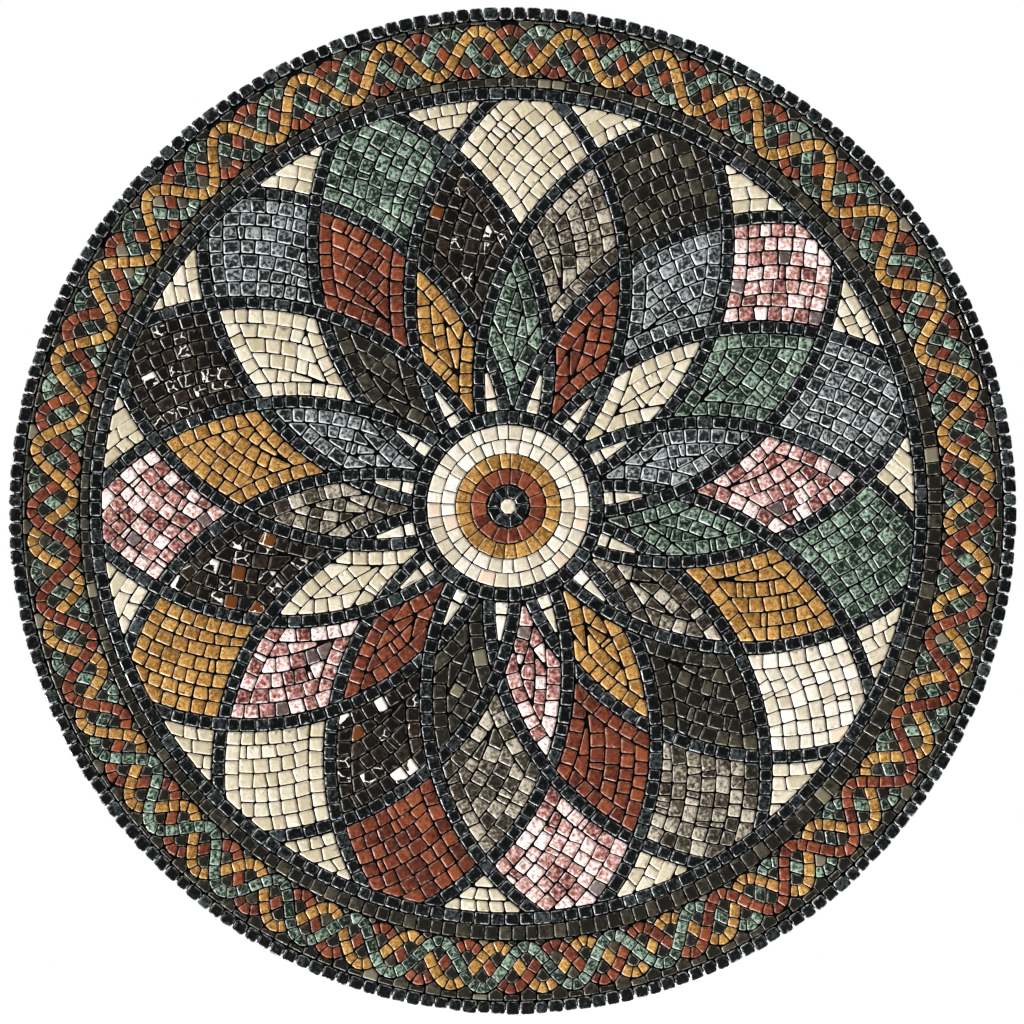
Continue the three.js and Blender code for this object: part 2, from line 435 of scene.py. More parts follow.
    def build(self, material: bpy.types.Material, slot: str, *nodes: str) -> bpy.types.Object:
        """Makes the piece.

        Args:
            material: Its finish.
            slot: The record's material slot that the finish belongs to; not used.
            nodes: The CAD nodes that the piece stands for.

        Returns:
            The piece, riding on the panel.
        """
        mesh = bpy.data.meshes.new(self.name)
        mesh.from_pydata(self.vertices, [], self.faces)
        mesh.validate()
        tone = mesh.attributes.new("stone_tone", "FLOAT_COLOR", "POINT")
        tone.data.foreach_set("color", [c for tone_ in self.tones for c in tone_])
        # The arris attribute: real rubbing of the arrises, and where a highlight is painted on them in
        # place of glints.
        rubbing_and_highlight = mesh.attributes.new("arris_rubbing_and_highlight", "FLOAT", "POINT")
        rubbing_and_highlight.data.foreach_set("value", self.rubbing_and_highlight)
        mesh.polygons.foreach_set("use_smooth", self.smooth)
        mesh.materials.append(material)
        piece = linked(self.name, mesh)
        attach(piece, BODY)
        if nodes:
            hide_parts(*nodes)
        LOG.info("%s: %d stones, %d faces", self.name, self.count, len(mesh.polygons))
        return piece


# ---------------------------------------------------------------- courses and fillings


@dataclass(frozen=True)
class Laying:
    """How a mason cuts and sets the stones of an area.

    Attributes:
        pitch: Usual length of a stone with its joint.
        loose: Largest share of a stone that a joint may move by.
        thin: Share of the stones that are only thin slips.
        skew: How far a joint may lean, in millimetres across the course.
        overrun: How far the end stones run past the region before they are cut.
        slip: Shortest and longest slip, as shares of the pitch.
    """

    pitch: float = 11.0
    loose: float = 0.13
    thin: float = 0.05
    skew: float = 0.7
    overrun: float = 13.0
    slip: Point = (0.36, 0.52)

    def joints(self, start: float, end: float, rng: random.Random) -> list[float]:
        """Divides a length into stones, some of them thin.

        Args:
            start: Where the first stone starts.
            end: Where the last stone ends.
            rng: Source of the unevenness.

        Returns:
            The joints, from start to end.
        """
        sizes: list[float] = []
        left = end - start
        while left > self.pitch * 0.5 or not sizes:
            thin = rng.random() < self.thin and sizes
            share = rng.uniform(*self.slip) if thin else 1 + rng.uniform(-self.loose, self.loose)
            sizes.append(self.pitch * share)
            left -= self.pitch * share
        scale = (end - start) / sum(sizes)
        places = [start]
        for size in sizes:
            places.append(places[-1] + size * scale)
        return places


@dataclass
class Patch:
    """A region that is being filled with stones, course by course.

    Attributes:
        region: What is still empty.
        heart: A point near the middle of the region.
        reach: How far the region spreads from its heart.
        rng: Source of the unevenness.
    """

    region: Region
    heart: Point
    reach: float
    rng: random.Random

    def course(
        self, stones: Masonry, edge: RoundEdge, near: float, far: float, laying: Laying
    ) -> None:
        """Lays the stones between two distances from an edge, as far as the region goes.

        Args:
            stones: The piece that takes the stones.
            edge: The edge that the course follows.
            near: Distance of the course's first side from the edge.
            far: Distance of its second side.
            laying: How the stones are cut.
        """
        inner = edge.radius + edge.side * near
        outer = edge.radius + edge.side * far
        centre_line = (inner + outer) / 2
        degrees = 180 / math.pi / centre_line
        aim = math.atan2(self.heart[0] - edge.centre[0], self.heart[1] - edge.centre[1])
        base = math.degrees(aim)
        for start, end in self._runs(edge.centre, centre_line, base, degrees):
            places = laying.joints(start, end, self.rng)
            places[0] -= laying.overrun
            places[-1] += laying.overrun
            joints: list[Polygon] = []
            for place in places:
                lean = self.rng.uniform(-laying.skew, laying.skew)
                low = polar(inner, base + (place - lean) * degrees, edge.centre)
                joints.append([low, polar(outer, base + (place + lean) * degrees, edge.centre)])
            for first, last in zip(joints, joints[1:]):
                stones.add(self.region.cut(first + last[::-1]))

    def _runs(self, centre: Point, radius: float, base: float, degrees: float) -> list[Point]:
        """Finds the stretches of a circle that lie in the region.

        Args:
            centre: Centre of the circle.
            radius: Its radius.
            base: Angle that lengths are counted from.
            degrees: Angle of a millimetre along the circle.

        Returns:
            Where each stretch starts and ends, as lengths from the base angle.
        """
        runs: list[Point] = []
        start: float | None = None
        step = 0.75
        shortest = 1.4
        count = int(min(self.reach, radius * math.pi) / step)
        for i in range(-count, count + 1):
            inside = self.region.holds(polar(radius, base + i * step * degrees, centre))
            if inside and start is None:
                start = i * step
            if not inside and start is not None:
                runs.append((start, i * step))
                start = None
        if start is not None:
            runs.append((start, count * step))
        return [run for run in runs if run[1] - run[0] > shortest]

    def border(self, stones: Masonry, edge: RoundEdge, width: float, laying: Laying) -> None:
        """Lays one course along an edge of the region and takes it off the region."""
        self.course(stones, edge, 0.0, width, laying)
        edges = tuple(e.moved(width) if e == edge else e for e in self.region.edges)
        self.region = Region(edges)

    def depth(self, edge: RoundEdge) -> Point:
        """Least and greatest distance of the region's points from an edge."""
        step = 1.5
        count = int(self.reach / step)
        found: list[float] = []
        for i in range(-count, count + 1):
            for j in range(-count, count + 1):
                point = (self.heart[0] + i * step, self.heart[1] + j * step)
                if self.region.holds(point):
                    found.append(edge.room(point))
        return (min(found), max(found)) if found else (0.0, 0.0)

    def fill(
        self, stones: Masonry, edge: RoundEdge, row: float, laying: Laying, slips: bool = True
    ) -> None:
        """Fills the rest of the region with rows that follow an edge.

        Args:
            stones: The piece that takes the stones.
            edge: The edge that the rows follow.
            row: Usual width of a row.
            laying: How the stones are cut.
            slips: True if a narrow row may make up for the rest.
        """
        shallowest, margin, narrowest = 2.0, 0.6, 3.8
        near, far = self.depth(edge)
        if far - near < shallowest:
            return
        near -= margin
        far += margin
        whole = max(1, int((far - near) / row + (0.12 if slips else 0.5)))
        rest = (far - near) - whole * row
        widths = [row] * whole
        if rest > narrowest and slips:
            widths.insert(self.rng.randrange(len(widths)), rest)
        scale = (far - near) / sum(widths)
        place = near
        for width in widths:
            width *= scale
            narrow = width < 0.65 * row
            style = Laying(laying.pitch * 1.1, 0.25, 0.0, 0.3) if narrow else laying
            self.course(stones, edge, place, place + width, style)
            place += width


# ---------------------------------------------------------------- the rosette


class Lean(Enum):
    """The two families of arcs that cross in the net."""

    CLOCKWISE = 1
    ANTICLOCKWISE = -1


class CellKind(Enum):
    """Kinds of cells in the net, by the crossing that each starts from."""

    SLIVER = -1
    LEAF = 0
    MIDDLE_PETAL = 1
    OUTER_PETAL = 2
    GUSSET = 3


@dataclass(frozen=True)
class Rosette:
    """The net of crossing arcs that divides the field.

    Attributes:
        centre: Its centre on the panel.
        petals: Number of arcs of each family.
        first_petal: Angle of the first leaf's axis.
        arc_radius: Radius of the arcs, which all pass through the centre.
        course: Width of the black courses.
        field: Radius of the field inside its outer black course.
        roundel: Radius of the roundel with its black course.
        crowding: How far the cells are pushed round the centre, in degrees.
    """

    centre: Point = (-3.2, 3.5)
    petals: int = 15
    first_petal: float = 3.06
    arc_radius: float = 202.3
    course: float = 9.6
    field: float = 306.3
    roundel: float = 72.3
    crowding: tuple[float, float] = (-0.52, -1.65)

    def lay(self, point: Point) -> Point:
        """Where a point of the regular net is laid on the panel."""
        radius = math.hypot(*point)
        angle = math.degrees(math.atan2(point[0], point[1]))
        angle += self.crowding[0] * cos_deg(angle) + self.crowding[1] * sin_deg(angle)
        return polar(radius, angle, self.centre)

    def crossing(self, index: float) -> float:
        """Chord angle at which arcs cross for the given time, counted from the centre."""
        return 180 / self.petals * (index + 0.5)

    def radius_at(self, chord: float) -> float:
        """Distance from the centre at a chord angle."""
        return 2 * self.arc_radius * sin_deg(chord)

    def chord_at(self, radius: float) -> float:
        """Chord angle at a distance from the centre."""
        return math.degrees(math.asin(radius / 2 / self.arc_radius))

    def arc_centre(self, lean: Lean, start: float) -> Point:
        """Centre of the arc that leaves the rosette's centre at an angle."""
        return polar(self.arc_radius, start + 90 * lean.value)

    def axis(self, kind: CellKind, index: int) -> float:
        """Angle of a cell's axis."""
        half = 0.5 if kind.value % 2 else 0.0
        return self.first_petal + 360 / self.petals * (index + half)

    def cell(self, kind: CellKind, index: int) -> tuple[Region, Point]:
        """One cell of the net, inside its black courses.

        Args:
            kind: Which kind of cell.
            index: Its number round the rosette, from 0.

        Returns:
            The cell's region and its middle. The first two edges bound its outer end, the next
            two its inner end.
        """
        axis = self.axis(kind, index)
        low = self.crossing(kind.value)
        high = self.crossing(kind.value + 2)
        half = self.course / 2
        inside = self.arc_radius - half
        outside = self.arc_radius + half
        edges = [
            RoundEdge(self.arc_centre(Lean.CLOCKWISE, axis - high), inside, -1),
            RoundEdge(self.arc_centre(Lean.ANTICLOCKWISE, axis + high), inside, -1),
            RoundEdge(self.arc_centre(Lean.CLOCKWISE, axis - low), outside, 1),
            RoundEdge(self.arc_centre(Lean.ANTICLOCKWISE, axis + low), outside, 1),
            RoundEdge(ORIGIN, self.roundel, 1),
            RoundEdge(ORIGIN, self.field, -1),
        ]
        inner = max(self.radius_at(low), self.roundel)
        outer = min(self.radius_at(high), self.field)
        return Region(tuple(edges)), polar((inner + outer) / 2, axis)


class Marble(Enum):
    """The marbles of the panel, by the record's material slot."""

    BLACK = "black_marble"
    WHITE = "white_marble"
    CREAM = "cream_marble"
    OCHRE = "ochre_marble"
    RED = "red_marble"
    GREEN = "green_marble"
    SLATE = "slate_marble"
    TAUPE = "taupe_marble"
    PINK = "pink_marble"
    OLIVE = "olive_marble"
    UMBER = "umber_marble"


# The marbles of the cells of each kind, clockwise from the top.
LEAF_MARBLES = "green red cream slate green taupe ochre pink olive red cream taupe slate olive ochre"
MIDDLE_MARBLES = "taupe slate green pink ochre olive red taupe umber pink umber ochre cream red umber"
OUTER_MARBLES = "cream olive pink slate green white taupe pink red cream ochre pink umber slate green"


def marbles(names: str) -> list[Marble]:
    """Reads a row of marble names."""
    return [Marble[name.upper()] for name in names.split()]


@dataclass
class Build:
    """What every part of the panel needs to build its pieces.

    Attributes:
        rosette: The net.
        face: Height of the highest stones above the back.
        foot: Height of the stones' undersides above the back.
        finishes: The material of each marble.
        seed: Start of the panel's own unevenness.
    """

    rosette: Rosette
    face: float
    foot: float
    finishes: dict[Marble, bpy.types.Material]
    seed: int = 7

    def rng(self, name: str) -> random.Random:
        """The source of unevenness of one piece."""
        return random.Random(f"{self.seed} {name}")

    def masonry(self, name: str, lay: Callable[[Point], Point], **settings: object) -> Masonry:
        """Starts one piece of stones."""
        return Masonry(f"{name}_tesserae", lay, self.face, self.foot, self.rng(name), **settings)

    def finish(self, stones: Masonry, marble: Marble, node: str) -> None:
        """Builds a piece of stones in a marble, in place of its CAD node."""
        stones.build(self.finishes[marble], marble.value, node)


@dataclass
class Cells:
    """The coloured cells of the net.

    Attributes:
        build: The shared means.
        row: Usual width of a row of stones.
        petal_reach: How far a petal spreads from its middle.
        gusset_reach: How far a gusset does.
        sliver_reach: How far a sliver does.
        sliver_heart: Distance of a sliver's middle from the rosette's centre.
        sliver_length: Length of a sliver.
    """

    build: Build
    row: float = 10.7
    petal_reach: float = 88.0
    gusset_reach: float = 50.0
    sliver_reach: float = 20.0
    sliver_heart: float = 90.0
    sliver_length: float = 31.0

    def make(self) -> None:
        """Builds every cell."""
        kinds = (
            (CellKind.LEAF, "leaf", marbles(LEAF_MARBLES)),
            (CellKind.MIDDLE_PETAL, "middle_petal", marbles(MIDDLE_MARBLES)),
            (CellKind.OUTER_PETAL, "outer_petal", marbles(OUTER_MARBLES)),
        )
        for kind, word, colours in kinds:
            for index, marble in enumerate(colours):
                node = f"{word}_{index + 1:02d}"
                joint = PALE_JOINT if marble in (Marble.CREAM, Marble.WHITE) else JOINT
                stones = self.build.masonry(node, self.build.rosette.lay, joint=joint)
                self._petal(stones, kind, index)
                self.build.finish(stones, marble, node)
        self._gussets()
        self._slivers()

    def _petal(self, stones: Masonry, kind: CellKind, index: int) -> None:
        """Fills a leaf or a petal: a course along its sides, then rows inside it.

        Args:
            stones: The piece that takes the stones.
            kind: Which kind of cell.
            index: Its number round the rosette, from 0.
        """
        region, heart = self.build.rosette.cell(kind, index)
        rng = stones.rng
        patch = Patch(region, heart, self.petal_reach, rng)
        laying = Laying(pitch=rng.uniform(10.7, 11.4), thin=0.04)
        sides = [0, 1, 2, 3]
        rng.shuffle(sides)
        if kind is CellKind.OUTER_PETAL:
            sides = sides[: rng.choice((2, 3, 3, 4))]
        for side in sides:
            width = self.row * rng.uniform(0.96, 1.04)
            patch.border(stones, patch.region.edges[side], width, laying)
        guide = patch.region.edges[rng.choice((0, 1))]
        inner = Laying(pitch=rng.uniform(10.4, 11.4), thin=0.13, loose=0.16, skew=0.9)
        patch.fill(stones, guide, self.row, inner)

    def _gussets(self) -> None:
        """Fills the cream gussets between the outer petals' ends."""
        rosette = self.build.rosette
        stones = self.build.masonry("cream_gussets", rosette.lay, joint=PALE_JOINT)
        rng = stones.rng
        for index in range(rosette.petals):
            region, heart = rosette.cell(CellKind.GUSSET, index)
            patch = Patch(region, heart, self.gusset_reach, rng)
            guide = region.edges[rng.choice((2, 3, 5))]
            laying = Laying(pitch=rng.uniform(10.0, 12.5), thin=0.06, loose=0.25, skew=1.8)
            patch.fill(stones, guide, rng.uniform(9.4, 11.0), laying, slips=False)
        self.build.finish(stones, Marble.CREAM, "cream_gussets")

    def _slivers(self) -> None:
        """Fills the white slivers round the roundel: a block and a pointed wedge."""
        rosette = self.build.rosette
        stones = self.build.masonry("white_slivers", rosette.lay, shape=HEWN, joint=1.0)
        single = Laying(pitch=self.sliver_length, thin=0.0)
        for index in range(rosette.petals):
            region = rosette.cell(CellKind.SLIVER, index)[0]
            heart = polar(self.sliver_heart, rosette.axis(CellKind.SLIVER, index))
            patch = Patch(region, heart, self.sliver_reach, stones.rng)
            guide = region.edges[4]
            block = stones.rng.uniform(9.5, 12.5)
            patch.course(stones, guide, 0.0, block, single)
            patch.course(stones, guide, block, self.sliver_length, single)
        self.build.finish(stones, Marble.WHITE, "white_slivers")


@dataclass
class BlackCourses:
    """The black net with the courses round the roundel and the field.

    Attributes:
        build: The shared means.
        crossings: Numbers of the crossings that lie in the field.
        roundel_stones: Stones in the course round the roundel.
        field_stones: Stones in the course round the field.
        course: Width of the course round the roundel.
        pitch: Usual length of an arc's stone with its joint.
        overrun: How far an arc's end stones run on before they are cut.
        pinch: How far before a crossing the last joint lies, as a share of the course.
    """

    build: Build
    crossings: tuple[int, ...] = (1, 2, 3)
    roundel_stones: int = 42
    field_stones: int = 178
    course: float = 10.5
    pitch: float = 10.9
    overrun: float = 14.0
    pinch: float = 0.55

    def make(self) -> None:
        """Builds the courses as one piece."""
        rosette = self.build.rosette
        stones = self.build.masonry("black_courses", rosette.lay)
        for index in range(rosette.petals):
            for lean in Lean:
                self._arc(stones, lean, index)
        self._ring(stones, rosette.roundel - self.course, rosette.roundel, self.roundel_stones)
        self._ring(stones, rosette.field, rosette.field + rosette.course, self.field_stones)
        self.build.finish(stones, Marble.BLACK, "black_courses")

    def _ring(self, stones: Masonry, inner: float, outer: float, count: int) -> None:
        """Lays a full ring of stones about the rosette's centre."""
        joints = steps(0.0, 360.0, 360 / count, stones.rng)
        for a, b in zip(joints, joints[1:]):
            outline = sector((inner, outer), (a, b))
            outline[1] = polar(outer, a + stones.rng.uniform(-0.1, 0.1))
            stones.add(outline)

    def _through(self, lean: Lean, start: float, number: int) -> bool:
        """True if the arc's stones run through a crossing and the other arc's stop there."""
        rosette = self.build.rosette
        angle = start + lean.value * rosette.crossing(number)
        place = round((angle - rosette.first_petal) * rosette.petals / 180) % (2 * rosette.petals)
        heads = self.build.rng(f"crossing {place} {number}").random() < 0.5
        return heads == (lean is Lean.CLOCKWISE)

    def _arc(self, stones: Masonry, lean: Lean, index: int) -> None:
        """Lays one arc of the net from the roundel to the edge of the field.

        Args:
            stones: The piece that takes the stones.
            lean: The arc's family.
            index: Its number round the rosette, from 0.
        """
        rosette = self.build.rosette
        half = rosette.course / 2
        start = rosette.first_petal + 360 / rosette.petals * index - lean.value * rosette.crossing(0)
        chord = rosette.chord_at(rosette.roundel)
        edge = RoundEdge(ORIGIN, rosette.roundel, 1)
        for number in self.crossings:
            if self._through(lean, start, number):
                continue
            stop = rosette.crossing(number)
            crossed = rosette.arc_centre(Lean(-lean.value), start + lean.value * 2 * stop)
            before = RoundEdge(crossed, rosette.arc_radius - half, -1)
            self._stretch(stones, lean, start, (chord, stop), (edge, before))
            chord = stop
            edge = RoundEdge(crossed, rosette.arc_radius + half, 1)
        field_edge = RoundEdge(ORIGIN, rosette.field, -1)
        stop = rosette.chord_at(rosette.field)
        self._stretch(stones, lean, start, (chord, stop), (edge, field_edge))

    def _stretch(
        self, stones: Masonry, lean: Lean, start: float, chords: Point, edges: tuple[RoundEdge, ...]
    ) -> None:
        """Lays the stones of an arc between two edges.

        Args:
            stones: The piece that takes the stones.
            lean: The arc's family.
            start: Angle at which the arc leaves the rosette's centre.
            chords: Chord angles at the two edges.
            edges: Where the first and the last stone are cut.
        """
        rosette = self.build.rosette
        centre = rosette.arc_centre(lean, start)
        half = rosette.course / 2
        length = 2 * rosette.arc_radius * math.pi / 180
        short = [0.0 if edge.centre == ORIGIN else self.pinch * rosette.course for edge in edges]
        first = chords[0] * length + short[0]
        joints = steps(first, chords[1] * length - short[1], self.pitch, stones.rng)
        joints[0] -= self.overrun
        joints[-1] += self.overrun
        ends = Region(edges[::-1])
        for a, b in zip(joints, joints[1:]):
            turns = [start - 90 * lean.value + lean.value * 2 * (place / length) for place in (a, b)]
            radii = (rosette.arc_radius - half, rosette.arc_radius + half)
            stones.add(ends.cut(sector(radii, turns, centre)))


@dataclass
class Roundel:
    """The rings of the roundel at the rosette's centre.

    Attributes:
        build: The shared means.
        rings: Node, marble, inner and outer radius and number of stones of each ring.
    """

    build: Build
    rings: tuple[tuple[str, Marble, float, float, int], ...] = (
        ("roundel_black", Marble.BLACK, 6.4, 16.6, 8),
        ("roundel_red", Marble.RED, 16.6, 28.6, 16),
        ("roundel_ochre", Marble.OCHRE, 28.6, 40.0, 24),
        ("roundel_white", Marble.WHITE, 40.0, 50.6, 29),
        ("roundel_white", Marble.WHITE, 50.6, 61.5, 36),
    )

    def make(self) -> None:
        """Builds the centre stone and the rings."""
        rosette = self.build.rosette
        centre = self.build.masonry("roundel_centre", rosette.lay, shape=SHARP, joint=0.85)
        centre.add([polar(self.rings[0][2], 22.5 + 45 * i) for i in range(8)])
        self.build.finish(centre, Marble.WHITE, "roundel_centre")
        pieces: dict[str, tuple[Masonry, Marble]] = {}
        for node, marble, inner, outer, count in self.rings:
            if node not in pieces:
                pieces[node] = (self.build.masonry(node, rosette.lay, shape=SHARP, joint=0.85), marble)
            stones = pieces[node][0]
            turn = stones.rng.uniform(0, 360 / count)
            joints = steps(turn, turn + 360, 360 / count, stones.rng, 0.14)
            for a, b in zip(joints, joints[1:]):
                stones.add(sector((inner, outer), (a, b)))
        for node, (stones, marble) in pieces.items():
            self.build.finish(stones, marble, node)


# ---------------------------------------------------------------- the border


@dataclass(frozen=True)
class Wave:
    """One strand of the braid: a wave that runs round the border.

    Attributes:
        marble: What it is laid in.
        node: Its CAD node.
        phase: Phase of the wave in degrees.
    """

    marble: Marble
    node: str
    phase: float


RED_WAVE = Wave(Marble.RED, "strand_red", 92.0)
GREEN_WAVE = Wave(Marble.GREEN, "strand_green", -26.0)
OCHRE_WAVE = Wave(Marble.OCHRE, "strand_ochre", -144.0)
WAVES = (RED_WAVE, GREEN_WAVE, OCHRE_WAVE)

# From which angle on the strands lie in which order, the top one first.
BRAID_ORDER = (
    (0.0, (OCHRE_WAVE, GREEN_WAVE, RED_WAVE)),
    (85.0, (RED_WAVE, OCHRE_WAVE, GREEN_WAVE)),
    (155.0, (GREEN_WAVE, RED_WAVE, OCHRE_WAVE)),
    (180.0, (GREEN_WAVE, OCHRE_WAVE, RED_WAVE)),
    (240.0, (RED_WAVE, OCHRE_WAVE, GREEN_WAVE)),
    (270.0, (OCHRE_WAVE, RED_WAVE, GREEN_WAVE)),
    (300.0, (OCHRE_WAVE, GREEN_WAVE, RED_WAVE)),
)


@dataclass
class Border:
    """The braid of three strands with its dark ground.

    Attributes:
        build: The shared means.
        centre: Centre of the braid.
        radius: Radius of the strands' mean line.
        swing: How far a strand swings to either side of it.
        waves: Number of waves round the border.
        width: Width of a strand.
        outer: Radius of the border's outer edge, about the panel's centre.
        long_pitch: Length of a strand's stone with its joint between the bends.
        bend_pitch: Its length in a bend.
        course_pitch: Length of a stone of the inner course.
        sample: Step in degrees at which the stones along a strand are counted.
        tuck: How far a strand's end stones run on before they are cut, as a share of a stone.
        eye_width: Width of an eye before it is cut.
        eye_depth: How far it goes from the mean line, to the inside of the bend and outwards.
        far_out: How far from the mean line the ground goes before the outer edge cuts it.
        notch_from: Distance of a notch's point from the mean line.
        course_depth: Width of the inner course before the field's edge cuts it.
    """

    build: Build
    centre: Point = (-1.1, 1.3)
    radius: float = 345.4
    swing: float = 16.0
    waves: int = 32
    width: float = 8.6
    outer: float = 369.5
    long_pitch: float = 10.6
    bend_pitch: float = 7.4
    course_pitch: float = 11.2
    sample: float = 0.05
    tuck: float = 0.25
    eye_width: float = 24.0
    eye_depth: Point = (-12.0, 14.0)
    far_out: float = 30.0
    notch_from: float = 7.0
    course_depth: float = 16.0

    def make(self) -> None:
        """Builds the three strands and the ground."""
        for wave in WAVES:
            self._strand(wave)
        self._ground()

    def _point(self, wave: Wave, angle: float, aside: float = 0.0) -> Point:
        """Point of a strand's middle line at an angle, or beside it."""
        swing = self.swing * sin_deg(self.waves * angle + wave.phase)
        point = polar(self.radius + swing, angle, self.centre)
        if not aside:
            return point
        normal = self._normal(wave, angle)
        return (point[0] + normal[0] * aside, point[1] + normal[1] * aside)

    def _normal(self, wave: Wave, angle: float) -> Point:
        """Unit normal of a strand's middle line, pointing away from the panel's middle."""
        a = self._point(wave, angle - 0.01)
        b = self._point(wave, angle + 0.01)
        length = distance(a, b)
        return ((a[1] - b[1]) / length, (b[0] - a[0]) / length)

    def _beside(
        self, outline: Polygon, wave: Wave, angle: float, heart: Point | None = None
    ) -> Polygon:
        """Cuts an outline along a strand's edge.

        Args:
            outline: The outline to cut, which may be empty.
            wave: The strand.
            angle: Where on the strand its edge is taken.
            heart: A point on the side that is kept, or None for the outline's own middle.

        Returns:
            What is left of the outline.
        """
        if not outline:
            return []
        point = self._point(wave, angle)
        normal = self._normal(wave, angle)
        x, y = heart or middle(outline)
        side = 1 if (x - point[0]) * normal[0] + (y - point[1]) * normal[1] > 0 else -1
        away = (-side * normal[0], -side * normal[1])
        return clip(outline, away, away[0] * point[0] + away[1] * point[1] - self.width / 2)

    @staticmethod
    def _order(angle: float) -> tuple[Wave, ...]:
        """The strands' order at an angle, the top one first."""
        chosen = BRAID_ORDER[0][1]
        for start, order in BRAID_ORDER:
            if angle % 360 >= start:
                chosen = order
        return chosen

    def _breaks(self, wave: Wave) -> list[tuple[float, Wave]]:
        """Angles where a strand passes under another one, with that strand."""
        found: list[tuple[float, Wave]] = []
        for other in WAVES:
            if other is wave:
                continue
            for turn in range(2 * self.waves):
                angle = (90 + 180 * turn - (wave.phase + other.phase) / 2) / self.waves % 360
                order = self._order(angle)
                if order.index(other) < order.index(wave):
                    found.append((angle, other))
        return sorted(found, key=lambda item: item[0])

    def _strand(self, wave: Wave) -> None:
        """Lays one strand, broken where it passes under another.

        Args:
            wave: The strand.
        """
        stones = self.build.masonry(wave.node, lambda point: point, shape=HEWN, joint=1.1)
        samples = round(360 / self.sample)
        counts = [0.0]
        for i in range(samples):
            a = self._point(wave, i * self.sample)
            b = self._point(wave, (i + 1) * self.sample)
            bend = abs(sin_deg(self.waves * (i + 0.5) * self.sample + wave.phase)) > 0.62
            counts.append(counts[-1] + distance(a, b) / (self.bend_pitch if bend else self.long_pitch))

        def count_at(angle: float) -> float:
            """Number of stones from the top to an angle, which may pass a full turn."""
            turns, rest = divmod(angle / self.sample, samples)
            low = int(rest)
            return turns * counts[-1] + counts[low] + (counts[low + 1] - counts[low]) * (rest - low)

        def angle_at(count: float) -> float:
            """Angle that a number of stones reaches."""
            turns, rest = divmod(count, counts[-1])
            low, high = 0, samples
            while high - low > 1:
                half = (low + high) // 2
                low, high = (half, high) if counts[half] <= rest else (low, half)
            share = (rest - counts[low]) / (counts[low + 1] - counts[low])
            return turns * 360 + (low + share) * self.sample

        breaks = self._breaks(wave)
        for (start, first), (end, last) in zip(breaks, breaks[1:] + breaks[:1]):
            end += 360 if end <= start else 0
            clear = 0.5 * self.width / self.long_pitch
            low = count_at(start) + clear
            high = count_at(end) - clear
            places = steps(low, high, 1.0, stones.rng)
            places[0] -= self.tuck
            places[-1] += self.tuck
            for i in range(len(places) - 1):
                outline = self._stone(wave, angle_at(places[i]), angle_at(places[i + 1]))
                if i == 0:
                    outline = self._beside(outline, first, start)
                if i == len(places) - 2:
                    outline = self._beside(outline, last, end)
                stones.add(outline)
        self.build.finish(stones, wave.marble, wave.node)

    def _stone(self, wave: Wave, start: float, end: float) -> Polygon:
        """Outline of a strand's stone between two angles, bulging on the outside of a bend."""
        bulging = 0.5
        half = self.width / 2
        between = (start + end) / 2
        outline = [self._point(wave, start, -half), self._point(wave, start, half)]
        bend = sin_deg(self.waves * between + wave.phase)
        if bend > bulging:
            outline.append(self._point(wave, between, half))
        outline += [self._point(wave, end, half), self._point(wave, end, -half)]
        if bend < -bulging:
            outline.append(self._point(wave, between, -half))
        return outline

    def _block(self, angle: float, width: float, low: float, high: float) -> Polygon:
        """A block of the ground: its middle's angle, its width, and how far in and out it goes."""
        half = math.degrees(width / 2 / self.radius)
        radii = (self.radius + low, self.radius + high)
        return sector(radii, (angle - half, angle + half), self.centre)

    def _ground(self) -> None:
        """Lays the ground: the eyes, the notches, the thin outer row and the inner course."""
        stones = self.build.masonry(
            "border_ground", lambda point: point, shape=HEWN, joint=1.2, smallest=4.0
        )
        for index, wave in enumerate(WAVES):
            others = (WAVES[(index + 1) % 3], WAVES[(index + 2) % 3])
            for turn in range(self.waves):
                for side in (1, -1):
                    peak = (side * 90 - wave.phase + 360 * turn) / self.waves
                    stones.add(self._eye(wave, peak, side, others))
                    self._notch(stones, wave, peak, side)
        self._inner_course(stones)
        self.build.finish(stones, Marble.OLIVE, "border_ground")

    def _eye(self, wave: Wave, peak: float, side: int, others: tuple[Wave, ...]) -> Polygon:
        """The eye between a strand's bend and the two strands that cross behind it.

        Args:
            wave: The strand that bends.
            peak: Angle of its bend.
            side: 1 if it bends outwards, -1 if inwards.
            others: The other strands.

        Returns:
            The eye's outline.
        """
        eye = self._block(peak, self.eye_width, *sorted(side * depth for depth in self.eye_depth))
        heart = middle(self._block(peak, 1.0, *sorted((1.0 * side, 6.0 * side))))
        for degrees in (0.0, 38.0, -38.0):
            eye = self._beside(eye, wave, peak + degrees / self.waves, heart)
        for other in others:
            for shift in (-1, 1):
                angle = peak + shift * 30 / self.waves
                if abs(sin_deg(self.waves * angle + other.phase)) < 0.1:
                    eye = self._beside(eye, other, angle, heart)
        return eye

    def _notch(self, stones: Masonry, wave: Wave, peak: float, side: int) -> None:
        """Lays the stones in the notch that follows a strand's bend.

        Args:
            stones: The piece that takes the stones.
            wave: The strand before the notch.
            peak: Angle of its bend.
            side: 1 for a notch on the outer side, -1 for the inner side.
        """
        rim = RoundEdge(ORIGIN, self.outer, -1)
        edge = self.swing + self.width / 2
        crossing = peak + 60 / self.waves
        following = peak + 120 / self.waves
        other = next(w for w in WAVES if abs(sin_deg(self.waves * following + w.phase) - side) < 0.01)
        width = math.radians(60 / self.waves) * self.radius
        if side > 0:
            wedge = rim.cut(self._block(crossing, width, self.notch_from, self.far_out))
        else:
            wedge = self._block(crossing, 2 * width, -edge, -self.notch_from)
        heart = polar(self.radius + 20.0 * side, crossing, self.centre)
        wedge = self._beside(wedge, wave, peak + 32 / self.waves, heart)
        stones.add(self._beside(wedge, other, following - 32 / self.waves, heart))
        if side > 0:
            stones.add(rim.cut(self._block(peak, width, edge, self.far_out)))

